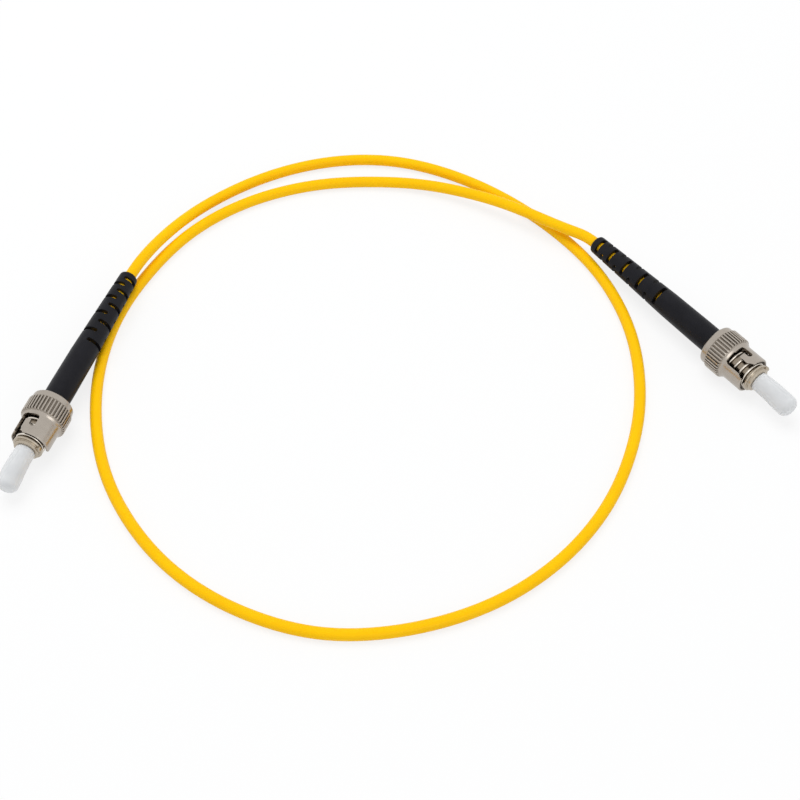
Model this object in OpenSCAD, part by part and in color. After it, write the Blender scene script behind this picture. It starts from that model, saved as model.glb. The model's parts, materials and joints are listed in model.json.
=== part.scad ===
// Simplex fibre patch cord with a bayonet (ST) connector on each end.
// Each connector is drawn along +X, pointing out of the cable, with its axis on X
// and x = 0 at the rear rim of its coupling nut. place() then lays it in the cord's frame.
// An angle round a connector is counted from the top towards its right-hand side.

/* [Coupling nut] */
// Length of the coupling nut
nut_len = 11.2; // [10.6:0.1:12.4]
// Diameter over the knurl, which also sets the height of both connectors
knurl_d = 9.8; // [9.6:0.1:10.4]
// Diameter of the front cylinder
nut_front_d = 8.25; // [8.0:0.05:8.6]
// Wall of the front cylinder
nut_wall = 0.55; // [0.45:0.05:0.65]
// Diameter of the plain band behind the knurl
nut_band_d = 9.1; // [9.0:0.05:9.4]
// Length of the plain band behind the knurl
nut_band_len = 1.5; // [1.2:0.1:1.8]
// Length of the knurl, with its two bevels
knurl_len = 3.9; // [3.2:0.1:4.2]
// Bevel at each end of the knurl
knurl_bevel = 0.25; // [0.2:0.05:0.4]
// Number of ribs in the knurl
rib_count = 40; // [30:1:48]
// Depth of the grooves between the ribs
groove_depth = 0.3; // [0.15:0.05:0.35]
// Length of the collar between the knurl and the front cylinder
collar_len = 0.65; // [0.4:0.05:0.8]
// Step of the collar below the knurl
collar_step = 0.4; // [0.2:0.05:0.5]
// Depth of the rear recess that covers the retaining ring
recess_depth = 1.5; // [1.3:0.05:1.7]
// Thickness of the inner flange that the spring pushes on
nut_flange_t = 0.9; // [0.7:0.05:1.2]
// Rounding of the front rim
rim_round = 0.2; // [0.1:0.05:0.25]

/* [Bayonet slots] */
// Width of the straight entry
entry_w = 2.8; // [2.4:0.1:3.0]
// Extra width of the flared mouth on each side
mouth_flare = 0.8; // [0.4:0.1:1.0]
// Length of the flared mouth
mouth_len = 1.3; // [0.8:0.1:1.6]
// Width of the ramp and of the hook
hook_w = 1.35; // [1.1:0.05:1.5]
// Turn from the entry to the hook
lock_turn = 48; // [42:1:52]
// How far the hook runs forward from the ramp
hook_len = 1.75; // [1.4:0.05:2.0]
// Gap between the collar and the back of the slots
slot_back_gap = 0.05; // [0:0.05:0.3]
// How much farther back the entry runs than the ramp
entry_relief = 0.12; // [0.1:0.01:0.2]

/* [Connector body] */
// Diameter of the spring seat at the front of the body
seat_d = 6.5; // [6.3:0.05:6.6]
// Length of the spring seat
seat_len = 1.3; // [1.1:0.1:1.6]
// How far the body stands out of the nut at rest
nose_out = 1.7; // [1.2:0.1:1.8]
// Diameter of the barrel that the nut slides on
barrel_d = 5.2; // [5.0:0.05:5.3]
// Where the barrel ends at the back, ahead of the nut's rear rim
barrel_back = 0.9; // [0.8:0.05:1.0]
// Edge bevel on the body
body_bevel = 0.2; // [0.1:0.05:0.3]
// Diameter of the crimp tail behind the barrel
tail_d = 3.4; // [3.2:0.05:3.5]
// Length of the crimp tail
tail_len = 6.0; // [5.0:0.1:7.0]
// Number of grip grooves on the crimp tail
grip_count = 6; // [3:1:8]
// Depth of the grip grooves
grip_depth = 0.15; // [0.05:0.05:0.25]
// Width of the alignment key
key_w = 1.1; // [0.9:0.05:1.3]
// Height of the alignment key above the spring seat
key_h = 0.2; // [0.1:0.05:0.25]
// Length of the alignment key
key_len = 0.8; // [0.6:0.1:0.9]
// Distance of the alignment key behind the nose
key_setback = 0.3; // [0.25:0.05:0.4]
// Angle of the alignment key round the connector
key_turn = -70; // [-180:5:180]

/* [Ferrule and fibre] */
// Diameter of the ferrule
ferrule_d = 2.5; // [2.4:0.05:2.6]
// How far the ferrule stands out of the body
ferrule_out = 5.4; // [4.6:0.1:6.0]
// How deep the ferrule sits in the body
ferrule_seat = 6.0; // [5.0:0.1:7.0]
// Bevel at the ferrule's tip
ferrule_bevel = 0.3; // [0.2:0.05:0.4]
// Depth of the funnel at the ferrule's back
funnel_len = 1.2; // [0.8:0.1:1.6]
// Diameter of the tight buffer round the fibre
buffer_d = 0.9; // [0.8:0.05:0.95]

/* [Spring and washer] */
// Wire diameter of the spring
wire_d = 0.5; // [0.4:0.05:0.55]
// Mean diameter of the spring
coil_d = 5.95; // [5.9:0.05:6.0]
// Pitch of the open turns
coil_pitch = 1.57; // [1.3:0.01:1.8]
// Thickness of the thrust washer
washer_t = 0.35; // [0.25:0.05:0.5]
// Thickness of the retaining ring
ring_t = 0.4; // [0.3:0.05:0.45]
// Depth of the groove that holds the retaining ring
ring_groove = 0.3; // [0.2:0.05:0.4]
// Opening of the retaining ring
ring_open = 60; // [40:5:90]
// Diameter of the retaining ring
ring_d = 6.2; // [6.0:0.05:6.3]

/* [Crimp] */
// Thickness of the yarn gripped between the tail and the sleeve
yarn_t = 0.22; // [0.15:0.01:0.3]
// Wall of the crimp sleeve
sleeve_wall = 0.35; // [0.25:0.05:0.4]
// Length of the crimp sleeve's neck over the jacket
neck_len = 3.0; // [2.0:0.1:4.0]

/* [Boot] */
// Length of the boot
boot_len = 38.4; // [36:0.2:39]
// Diameter of the boot at the nut
boot_front_d = 5.8; // [5.7:0.05:6.0]
// Diameter of the boot where its taper starts
boot_waist_d = 5.6; // [5.3:0.05:5.7]
// Diameter of the boot's tail
boot_tail_d = 4.1; // [4.0:0.05:4.3]
// Length of the thick front stretch
boot_front_len = 15; // [10:0.5:18]
// Rounding of the tail's edge
boot_round = 0.6; // [0.3:0.05:0.7]
// Clear gap between the boot's bore and the cable jacket
boot_clear = 0.1; // [0.05:0.05:0.2]
// Width of a slit
slit_w = 0.9; // [0.6:0.05:1.1]
// Angle that a slit spans round the boot
slit_span = 96; // [80:2:110]
// Place of the first slit, ahead of the tail's end
slit_first = 2.0; // [1.6:0.1:2.4]
// Step from one slit to the next at the tail
slit_step = 3.85; // [3.6:0.05:4.0]
// How much each step grows towards the nut
slit_growth = 0.6; // [0.4:0.05:0.7]
// Number of slits in the longer row
slit_count = 5; // [3:1:5]

/* [Dust cap] */
// Length of the dust cap
cap_len = 9.7; // [9.0:0.1:11.0]
// Diameter of the cap at its mouth
cap_mouth_d = 4.3; // [4.1:0.05:4.4]
// Diameter of the cap near its tip
cap_tip_d = 4.7; // [4.5:0.05:4.9]
// Length of the straight stretch round the ferrule
cap_straight = 4.2; // [3.5:0.1:5.0]
// Room beyond the ferrule's tip inside the cap
cap_room = 0.6; // [0.4:0.1:1.0]
// Bevel inside the cap's mouth
cap_lead = 0.3; // [0.2:0.05:0.5]

/* [Fits] */
// Gap all round between fixed metal parts
press_gap = 0.01; // [0.005:0.005:0.02]
// Running gap between the nut and the barrel, and beside the washer
run_gap = 0.05; // [0.03:0.01:0.08]
// End gap between parts that meet and move
end_gap = 0.02; // [0.01:0.01:0.05]
// Oil gap between the nut's flange and the thrust washer
oil_gap = 0.03; // [0.02:0.01:0.05]
// Slip gap between the cap and the ferrule
slip_gap = 0.02; // [0.01:0.01:0.05]

/* [Cable] */
// Diameter of the cable jacket
jacket_d = 2.5; // [2.3:0.1:2.5]

/* [Lay of the connectors] */
// Where the left nut's rear rim stands, from side to side
left_x = -72.9; // [-76:0.1:-70]
// Where the left nut's rear rim stands, from front to back
left_y = -12.3; // [-15:0.1:-10]
// Heading of the left connector
left_heading = 250.8; // [248:0.1:254]
// Turn of the left nut, to the middle of its upper entry
left_nut_turn = 46; // [0:1:90]
// Turn of the left boot, to its longer row of slits
left_boot_turn = -60; // [-90:1:90]
// Bend of the left cap's tip
left_cap_bend = 9; // [0:1:12]
// Where the right nut's rear rim stands, from side to side
right_x = 66.6; // [64:0.1:70]
// Where the right nut's rear rim stands, from front to back
right_y = 3.9; // [2:0.1:6]
// Heading of the right connector
right_heading = -51.4; // [-54:0.1:-48]
// Turn of the right nut, to the middle of its upper entry
right_nut_turn = 37; // [0:1:90]
// Turn of the right boot, to its longer row of slits
right_boot_turn = 30; // [-90:1:90]
// Bend of the right cap's tip
right_cap_bend = 6; // [0:1:12]

/* [Hidden] */
$fn = 64;

axis_h = knurl_d/2;

// stations along a connector, from the nut's rear rim
nose_x = nut_len + nose_out;
seat_x = nose_x - seat_len;
knurl_x = nut_band_len;
collar_x = knurl_x + knurl_len;
neck_x = collar_x + collar_len;
slot_back_x = neck_x + slot_back_gap;
flange_x = recess_depth + nut_flange_t;
washer_x = flange_x + oil_gap;
spring_x = washer_x + washer_t;
ring_x = recess_depth - end_gap - ring_t;
tail_x = barrel_back - tail_len;
boot_end_x = barrel_back - boot_len;
ferrule_tip_x = nose_x + ferrule_out;
ferrule_back_x = nose_x - ferrule_seat;
funnel_x = ferrule_back_x + funnel_len;

// radii worked out from the pieces that they hold
nut_r = nut_front_d/2;
nut_bore_r = nut_r - nut_wall;
recess_r = boot_front_d/2 + 0.4;
barrel_r = barrel_d/2;
flange_bore_r = barrel_r + run_gap;
groove_r = barrel_r - ring_groove;
tail_r = tail_d/2;
yarn_r = tail_r + press_gap + yarn_t;
sleeve_in_r = yarn_r + press_gap;
sleeve_r = sleeve_in_r + sleeve_wall;
jacket_r = jacket_d/2;
neck_in_r = jacket_r + end_gap;
neck_r = neck_in_r + sleeve_wall;
boot_cavity_r = sleeve_r + run_gap;
boot_bore_r = jacket_r + boot_clear;
ferrule_bore_r = ferrule_d/2 + press_gap;
fibre_bore_r = buffer_d/2 + run_gap;
jacket_end_x = tail_x - end_gap;
neck_end_x = tail_x - neck_len;

// cable route between the two boots, laid out by hand: centres in the cord's frame
cable_points = [
    [-58.5, 28.5, 4.8], [-54.5, 36, 4], [-49.5, 43.5, 2.9], [-43, 50.5, 1.9], [-34.5, 57, 1.25],
    [-24.5, 61.5, 1.25], [-13, 64, 1.25], [-1.5, 63.5, 1.25], [9, 60, 1.25], [19, 54.5, 1.25],
    [28.5, 47, 1.25], [36.5, 38.5, 1.25], [43, 29.5, 1.25], [47.5, 19, 1.25], [50, 8.5, 1.25],
    [50.5, -2.5, 1.25], [49.5, -13, 1.25], [46.5, -24, 1.25], [42, -34.5, 1.25], [35.5, -44, 1.25],
    [27.5, -52, 1.25], [18, -58.5, 1.25], [7, -63, 1.25], [-5, -65.5, 1.25], [-17, -65.5, 1.25],
    [-28.5, -62, 1.25], [-39, -56.5, 1.25], [-48.5, -48.5, 1.25], [-56, -38.5, 1.25],
    [-61.5, -27.5, 1.25], [-64.5, -15.5, 1.25], [-65.5, -3.5, 1.25], [-64.5, 8, 1.25],
    [-61.5, 19, 1.25], [-56, 30, 1.25], [-49.5, 39.5, 1.25], [-41, 47, 1.25], [-31, 52.5, 1.25],
    [-19, 56, 1.25], [-7, 56.5, 1.25], [4, 55.5, 1.6], [14.5, 51.5, 2.8], [24, 46.5, 3.9],
    [32, 41, 4.4], [37.8, 37.2, 4.8]
];
jacket_sides = 8;
rings_per_point = 2;

function heading_of(x0, y0, heading, s) =
    [x0 + s*cos(heading), y0 + s*sin(heading), axis_h];
function left_at(s) = heading_of(left_x, left_y, left_heading, s);
function right_at(s) = heading_of(right_x, right_y, right_heading, s);

// these stations hold the cable straight inside each boot and out of its tail
left_stations = [jacket_end_x, -16, -27, -37];
right_stations = [-40.5, -34, -27, -16, jacket_end_x];
cable_control = concat(
    [for (s = left_stations) left_at(s)],
    cable_points,
    [for (s = right_stations) right_at(s)]
);

// uniform cubic B-spline that starts and ends on its end points
function padded(p) = let (n = len(p))
    concat([2*p[0] - p[1]], p, [2*p[n - 1] - p[n - 2]]);
function spline_at(q, i, t) =
    (pow(1 - t, 3)*q[i] + (3*pow(t, 3) - 6*t*t + 4)*q[i + 1]
    + (-3*pow(t, 3) + 3*t*t + 3*t + 1)*q[i + 2] + pow(t, 3)*q[i + 3])/6;
function spline(p, steps) = let (q = padded(p)) concat(
    [for (i = [0:len(p) - 2], k = [0:steps - 1]) spline_at(q, i, k/steps)],
    [p[len(p) - 1]]
);
function unit(v) = v/norm(v);
function tangent(p, i) = unit(p[min(i + 1, len(p) - 1)] - p[max(i - 1, 0)]);

// one ring of a swept tube, kept upright because the route never climbs steeply
function ring_at(p, i, r, sides) = let (
    t = tangent(p, i),
    side = unit(cross(t, [0, 0, 1])),
    up = cross(side, t)
) [for (k = [0:sides - 1]) p[i] + r*(cos(360*k/sides)*side + sin(360*k/sides)*up)];

function tube_faces(rings, sides) = concat(
    [[for (k = [sides - 1:-1:0]) k]],
    [for (i = [0:rings - 2], k = [0:sides - 1]) let (
        a = i*sides + k,
        b = i*sides + (k + 1)%sides
    ) [a, b, b + sides, a + sides]],
    [[for (k = [0:sides - 1]) (rings - 1)*sides + k]]
);

module tube(p, r, sides) {
    points = [for (i = [0:len(p) - 1], q = ring_at(p, i, r, sides)) q];
    polyhedron(points, tube_faces(len(p), sides), convexity = 8);
}

// a profile of [radius, station] pairs turned round the connector's axis
module turned(profile) {
    rotate([0, 90, 0]) rotate_extrude() polygon(profile);
}

// a full or part ring: from angle a0 over a sweep, between two radii and two stations
module ring_sector(r0, r1, x0, x1, a0, sweep) {
    rotate([a0 + 180, 0, 0]) rotate([0, 90, 0]) rotate_extrude(angle = sweep)
        translate([r0, x0]) square([r1 - r0, x1 - x0]);
}

// a cylinder that stands on the connector's axis at angle a and station x
module radial_pin(r, x, a, r0, r1) {
    rotate([a, 0, 0]) translate([x, 0, r0]) cylinder(r = r, h = r1 - r0, $fn = 32);
}

// ---- coupling nut ----

cut_r = knurl_d/2 + 1;

// outline of the knurl: ribs with slanted flanks round a core
module knurl_outline() {
    rib = 360/rib_count;
    top_r = knurl_d/2;
    root_r = top_r - groove_depth;
    polygon([for (i = [0:rib_count - 1], c = [[0.30, 0], [0.70, 0], [0.80, 1], [1.20, 1]])
        let (a = rib*(i + c[0]), r = c[1] == 0 ? root_r : top_r)
        [r*cos(a), r*sin(a)]]);
}

module knurl() {
    top_r = knurl_d/2;
    intersection() {
        translate([knurl_x, 0, 0]) rotate([0, 90, 0]) linear_extrude(knurl_len) knurl_outline();
        turned([
            [0, knurl_x], [top_r - knurl_bevel, knurl_x], [top_r, knurl_x + knurl_bevel],
            [top_r, collar_x - knurl_bevel], [top_r - knurl_bevel, collar_x], [0, collar_x]
        ]);
    }
}

module nut_blank() {
    band_r = nut_band_d/2;
    collar_r = knurl_d/2 - collar_step;
    turned([
        [0, 0], [band_r - 0.25, 0], [band_r - 0.05, 0.2], [band_r, 0.45], [band_r, knurl_x],
        [0, knurl_x]
    ]);
    knurl();
    turned([
        [0, collar_x], [collar_r, collar_x], [collar_r, collar_x + 0.4*collar_len],
        [nut_r + 0.1, neck_x], [nut_r, neck_x + 0.3],
        [nut_r, nut_len - rim_round], [nut_r - rim_round, nut_len], [0, nut_len]
    ]);
}

module nut_bore() {
    turned([
        [0, -1], [recess_r + 0.2, -1], [recess_r + 0.2, 0], [recess_r, 0.2],
        [recess_r, recess_depth], [flange_bore_r, recess_depth],
        [flange_bore_r, flange_x], [nut_bore_r, flange_x],
        [nut_bore_r, nut_len - 0.25], [nut_bore_r + 0.15, nut_len],
        [nut_bore_r + 0.15, nut_len + 1], [0, nut_len + 1]
    ]);
}

// one J-shaped slot: flared mouth, straight entry, ramp and hook
module bayonet_slot() {
    half = entry_w/2;
    corner = 0.4;
    cut_r0 = nut_bore_r - 0.5;
    hook_x = slot_back_x + hook_w + hook_len - hook_w/2;
    translate([0, 0, cut_r0]) linear_extrude(cut_r - cut_r0) polygon([
        [slot_back_x, -half + corner], [slot_back_x + corner, -half],
        [nut_len - mouth_len, -half], [nut_len, -half - mouth_flare],
        [nut_len + 1, -half - mouth_flare], [nut_len + 1, half + mouth_flare],
        [nut_len, half + mouth_flare], [nut_len - mouth_len, half], [slot_back_x, half]
    ]);
    ring_sector(cut_r0, cut_r, slot_back_x + entry_relief, slot_back_x + hook_w + 0.2,
        -lock_turn, lock_turn);
    radial_pin(hook_w/2, slot_back_x + entry_relief + hook_w/2, -lock_turn, cut_r0, cut_r);
    radial_pin(hook_w/2, hook_x, -lock_turn, cut_r0, cut_r);
    rotate([-lock_turn, 0, 0])
        translate([slot_back_x + entry_relief + hook_w/2, -hook_w/2, cut_r0])
            cube([hook_x - slot_back_x - entry_relief - hook_w/2, hook_w, cut_r - cut_r0]);
}

module coupling_nut(turn) {
    color([0.70, 0.66, 0.62]) rotate([turn, 0, 0]) difference() {
        nut_blank();
        nut_bore();
        for (a = [0, 180]) rotate([a, 0, 0]) bayonet_slot();
    }
}

// ---- parts inside the nut ----

module connector_body() {
    seat_r = seat_d/2;
    grip_step = (tail_len - 1)/grip_count;
    color([0.74, 0.71, 0.66]) {
        difference() {
            union() {
                turned([
                    [0, tail_x], [tail_r - body_bevel, tail_x], [tail_r, tail_x + body_bevel],
                    [tail_r, barrel_back], [barrel_r - body_bevel, barrel_back],
                    [barrel_r, barrel_back + body_bevel/2],
                    [barrel_r, ring_x - end_gap], [groove_r, ring_x - end_gap],
                    [groove_r, recess_depth], [barrel_r, recess_depth],
                    [barrel_r, seat_x], [seat_r - body_bevel/2, seat_x],
                    [seat_r, seat_x + body_bevel/2], [seat_r, nose_x - body_bevel],
                    [seat_r - body_bevel, nose_x], [0, nose_x]
                ]);
                rotate([key_turn, 0, 0])
                    translate([nose_x - key_setback - key_len, -key_w/2, ferrule_d/2 + 1])
                        cube([key_len, key_w, seat_r + key_h - ferrule_d/2 - 1]);
            }
            for (i = [0:grip_count - 1])
                ring_sector(tail_r - grip_depth, tail_r + 1, tail_x + 0.5 + i*grip_step,
                    tail_x + 0.5 + (i + 0.5)*grip_step, 0, 360);
            turned([
                [0, tail_x - 1], [fibre_bore_r, tail_x - 1], [fibre_bore_r, ferrule_back_x - press_gap],
                [ferrule_bore_r, ferrule_back_x - press_gap],
                [ferrule_bore_r, nose_x - 0.2], [ferrule_bore_r + 0.2, nose_x],
                [ferrule_bore_r + 0.2, nose_x + 1], [0, nose_x + 1]
            ]);
        }
    }
}

module ferrule() {
    r = ferrule_d/2;
    color([0.95, 0.95, 0.93]) turned([
        [0, funnel_x], [buffer_d/2, ferrule_back_x + 0.3], [buffer_d/2 + 0.1, ferrule_back_x],
        [r - 0.15, ferrule_back_x], [r, ferrule_back_x + 0.15],
        [r, ferrule_tip_x - 2*ferrule_bevel], [r - ferrule_bevel, ferrule_tip_x - 0.05],
        [r - 2*ferrule_bevel, ferrule_tip_x], [0, ferrule_tip_x]
    ]);
}

module buffered_fibre() {
    color([0.96, 0.94, 0.80]) turned([
        [0, jacket_end_x + end_gap], [buffer_d/2, jacket_end_x + end_gap],
        [buffer_d/2, ferrule_back_x - end_gap], [0, ferrule_back_x - end_gap]
    ]);
}

module thrust_washer() {
    color([0.60, 0.58, 0.55])
        ring_sector(flange_bore_r, nut_bore_r - run_gap, washer_x, washer_x + washer_t, 0, 360);
}

module retaining_ring() {
    color([0.35, 0.34, 0.33]) difference() {
        ring_sector(groove_r + press_gap, ring_d/2, ring_x, ring_x + ring_t,
            180 + ring_open/2, 360 - ring_open);
        for (a = [-1, 1])
            radial_pin(0.01 + ring_t/4, ring_x + ring_t/2, 180 + a*(ring_open/2 + 8), 2, 4);
    }
}

// closed coils at both ends and open turns between them, swept as a tube
module coil_spring() {
    wire_r = wire_d/2;
    coil_r = coil_d/2;
    len_in = seat_x - spring_x - wire_d;
    open_len = len_in - 2*wire_d;
    open_turns = round(4*open_len/coil_pitch)/4;
    per_turn = 16;
    steps = round((open_turns + 2)*per_turn);
    turns = open_turns + 2;
    function station(u) = u < 1 ? u*wire_d : u < turns - 1 ? wire_d + (u - 1)*open_len/open_turns
        : wire_d + open_len + (u - turns + 1)*wire_d;
    function centre(i) = let (u = i*turns/steps, a = 360*u)
        [spring_x + wire_r + station(u), coil_r*sin(a), coil_r*cos(a)];
    sides = 6;
    points = [for (i = [0:steps]) let (
            c = centre(i),
            out = unit([0, c[1], c[2]]),
            k0 = 180/sides
        ) for (k = [0:sides - 1])
            c + wire_r*(cos(k0 + 360*k/sides)*out + sin(k0 + 360*k/sides)*[1, 0, 0])];
    color([0.80, 0.76, 0.70]) polyhedron(points, tube_faces(steps + 1, sides), convexity = 10);
}

// ---- crimp ----

module strength_yarn() {
    color([0.90, 0.80, 0.35])
        ring_sector(tail_r + press_gap, yarn_r, tail_x, barrel_back - 2*end_gap, 0, 360);
}

module crimp_sleeve() {
    color([0.72, 0.70, 0.68]) turned([
        [sleeve_in_r, tail_x], [sleeve_in_r, barrel_back - end_gap],
        [sleeve_r, barrel_back - end_gap],
        [sleeve_r, tail_x], [neck_r + 0.1, tail_x - 0.4], [neck_r, tail_x - 0.6],
        [neck_r, neck_end_x], [neck_in_r, neck_end_x], [neck_in_r, tail_x - 0.1]
    ]);
}

// ---- boot ----

// place of the i-th slit, counted in whole steps from the tail
function slit_x(i) = boot_end_x + slit_first + slit_step*i + slit_growth*i*(i - 1)/2;

module slit(x, a) {
    deep_r = jacket_r;
    ring_sector(deep_r, boot_front_d/2 + 1, x - slit_w/2, x + slit_w/2,
        a - slit_span/2, slit_span);
    for (s = [-1, 1])
        radial_pin(slit_w/2, x, a + s*slit_span/2, deep_r, boot_front_d/2 + 1);
}

module boot(turn) {
    front_r = boot_front_d/2;
    waist_r = boot_waist_d/2;
    tail_end_r = boot_tail_d/2;
    cavity_end_x = neck_end_x - 0.5;
    arc = [for (a = [0:30:90]) [
        tail_end_r - boot_round*(1 - cos(a)),
        boot_end_x + boot_round*(1 - sin(a))
    ]];
    color([0.13, 0.13, 0.14]) difference() {
        turned(concat(
            [
                [boot_cavity_r, barrel_back], [front_r - 0.1, barrel_back],
                [front_r, barrel_back - 0.1],
                [front_r, -0.3*boot_front_len], [waist_r, barrel_back - boot_front_len]
            ],
            arc,
            [
                [boot_bore_r, boot_end_x], [boot_bore_r, cavity_end_x - 1],
                [boot_cavity_r, cavity_end_x]
            ]
        ));
        for (side = [0, 180]) {
            for (i = [0:slit_count - 1]) slit(slit_x(i), turn + side);
            for (i = [0:slit_count - 2]) slit(slit_x(i + 0.5), turn + side + 90);
        }
    }
}

// ---- dust cap ----

module dust_cap(bend) {
    mouth_r = cap_mouth_d/2;
    tip_r = cap_tip_d/2;
    bend_r = mouth_r + (tip_r - mouth_r)*0.3;
    far_len = cap_len - cap_straight;
    round_r = 0.9;
    color([0.93, 0.93, 0.94, 0.9]) difference() {
        union() {
            turned([
                [0, nose_x + end_gap], [mouth_r, nose_x + end_gap],
                [bend_r, nose_x + cap_straight], [0, nose_x + cap_straight]
            ]);
            translate([nose_x + cap_straight, 0, 0]) {
                sphere(r = bend_r);
                rotate([0, bend, 0]) turned([
                    [0, 0], [bend_r, 0], [tip_r, far_len*0.6], [tip_r, far_len - round_r],
                    [tip_r - 0.13*round_r, far_len - 0.5*round_r],
                    [tip_r - 0.5*round_r, far_len - 0.13*round_r],
                    [tip_r - round_r, far_len], [0, far_len]
                ]);
            }
        }
        turned([
            [0, nose_x - 1], [ferrule_d/2 + cap_lead, nose_x - 1],
            [ferrule_d/2 + cap_lead, nose_x + end_gap], [ferrule_d/2 + slip_gap, nose_x + cap_lead],
            [ferrule_d/2 + slip_gap, ferrule_tip_x + cap_room], [0, ferrule_tip_x + cap_room + 0.5]
        ]);
    }
}

// ---- cable ----

module cable() {
    color([0.98, 0.77, 0.02]) tube(spline(cable_control, rings_per_point), jacket_r, jacket_sides);
}

// ---- layout ----

module place_left() {
    translate([left_x, left_y, axis_h]) rotate([0, 0, left_heading]) children();
}

module place_right() {
    translate([right_x, right_y, axis_h]) rotate([0, 0, right_heading]) children();
}

place_left() dust_cap(left_cap_bend);  // left_dust_cap
place_left() ferrule();  // left_ferrule
place_left() connector_body();  // left_body
place_left() coupling_nut(left_nut_turn);  // left_coupling_nut
place_left() coil_spring();  // left_spring
place_left() thrust_washer();  // left_thrust_washer
place_left() retaining_ring();  // left_retaining_ring
place_left() strength_yarn();  // left_strength_yarn
place_left() crimp_sleeve();  // left_crimp_sleeve
place_left() buffered_fibre();  // left_buffered_fibre
place_left() boot(left_boot_turn);  // left_boot
place_right() dust_cap(right_cap_bend);  // right_dust_cap
place_right() ferrule();  // right_ferrule
place_right() connector_body();  // right_body
place_right() coupling_nut(right_nut_turn);  // right_coupling_nut
place_right() coil_spring();  // right_spring
place_right() thrust_washer();  // right_thrust_washer
place_right() retaining_ring();  // right_retaining_ring
place_right() strength_yarn();  // right_strength_yarn
place_right() crimp_sleeve();  // right_crimp_sleeve
place_right() buffered_fibre();  // right_buffered_fibre
place_right() boot(right_boot_turn);  // right_boot
cable();
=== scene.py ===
# %% [markdown]
# # A simplex fibre patch cord with a bayonet connector on each end
#
# The frame is the imported CAD model: every solid is already in its true place, in metres,
# and rides on the body that moves it. Blender adds the looks. We load the frame first.

# %% Load the frame
import json
import math

import bmesh
import bpy
from mathutils import Matrix, Vector


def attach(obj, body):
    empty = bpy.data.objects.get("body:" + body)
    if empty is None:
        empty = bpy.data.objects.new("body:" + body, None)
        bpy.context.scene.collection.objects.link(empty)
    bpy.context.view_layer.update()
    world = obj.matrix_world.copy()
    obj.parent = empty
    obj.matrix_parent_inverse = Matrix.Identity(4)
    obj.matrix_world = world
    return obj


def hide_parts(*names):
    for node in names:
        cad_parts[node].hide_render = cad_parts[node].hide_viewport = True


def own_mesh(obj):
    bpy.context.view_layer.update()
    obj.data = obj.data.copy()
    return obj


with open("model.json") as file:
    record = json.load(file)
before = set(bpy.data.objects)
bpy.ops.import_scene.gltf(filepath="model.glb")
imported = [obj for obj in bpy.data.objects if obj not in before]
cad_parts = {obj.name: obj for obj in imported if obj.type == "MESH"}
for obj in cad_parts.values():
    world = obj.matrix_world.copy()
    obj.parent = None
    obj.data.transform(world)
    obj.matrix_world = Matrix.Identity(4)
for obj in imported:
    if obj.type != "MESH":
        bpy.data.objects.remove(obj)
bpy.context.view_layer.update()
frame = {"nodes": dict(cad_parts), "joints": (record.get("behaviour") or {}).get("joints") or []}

MM = 0.001
SIDES = ("left", "right")

# %% [markdown]
# ## Where each connector lies
#
# A connector is turned round one axis, so almost everything on it is easiest to say as a
# station along that axis and a radius from it. The joint that turns the coupling nut holds
# both the axis and the centre of the nut's rear rim, so we read the place from there
# instead of typing it twice.

# %% Connector axes
JOINTS = {j["name"]: j for j in frame["joints"]}


def lay_of(side):
    """The matrix that takes a connector's own frame, in metres, to the cord's frame."""
    turn = JOINTS[f"{side}_nut_turn"]
    along = Vector(turn["axis"]).normalized()
    up = Vector((0, 0, 1))
    across = up.cross(along).normalized()
    place = Matrix((along, across, along.cross(across))).transposed().to_4x4()
    place.translation = Vector(turn["pos_m"])
    return place


LAY = {side: lay_of(side) for side in SIDES}
for side in SIDES:
    print(side, "rear rim at", [round(c / MM, 2) for c in LAY[side].translation], "mm")

# %% [markdown]
# ## The camera
#
# The cord lies flat on a table, and we look down on it from the front, about half way
# between level and straight above. A long lens keeps the near connector and the far strand
# at nearly the same scale. The camera comes before the cable, because the cable's check
# asks how far it spreads outside the view.

# %% Camera
LOOK_AT = Vector((-0.8, -7.5, 0)) * MM
STAND = Vector((-0.8, -234.1, 290.1)) * MM
SENSOR_MM = 36
LENS_MM = 78.1
camera_data = bpy.data.cameras.new("camera")
camera_data.sensor_width = SENSOR_MM
camera_data.lens = LENS_MM
camera_data.clip_start = 0.01
camera_data.clip_end = 10
camera = bpy.data.objects.new("camera", camera_data)
bpy.context.scene.collection.objects.link(camera)
camera.location = STAND
camera.rotation_mode = "QUATERNION"
camera.rotation_quaternion = (LOOK_AT - STAND).to_track_quat("-Z", "Y")
bpy.context.scene.camera = camera
print("camera is", round((STAND - LOOK_AT).length / MM), "mm from the cord")

# %% [markdown]
# ## The cable
#
# The jacket is a 2.5 mm tube of soft yellow plastic over yarn and one coated fibre. It is
# limp enough to lie flat, yet springy, so it keeps one wide loop: a little more than a turn
# from the left boot round to the right one, passing beside its own start. A Bezier curve
# would do, but the CAD solid was swept along a uniform cubic B-spline, so we use the very
# same points and the same four weights. Then the tube that we see and the solid that
# MuJoCo knows share one centreline.

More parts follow.
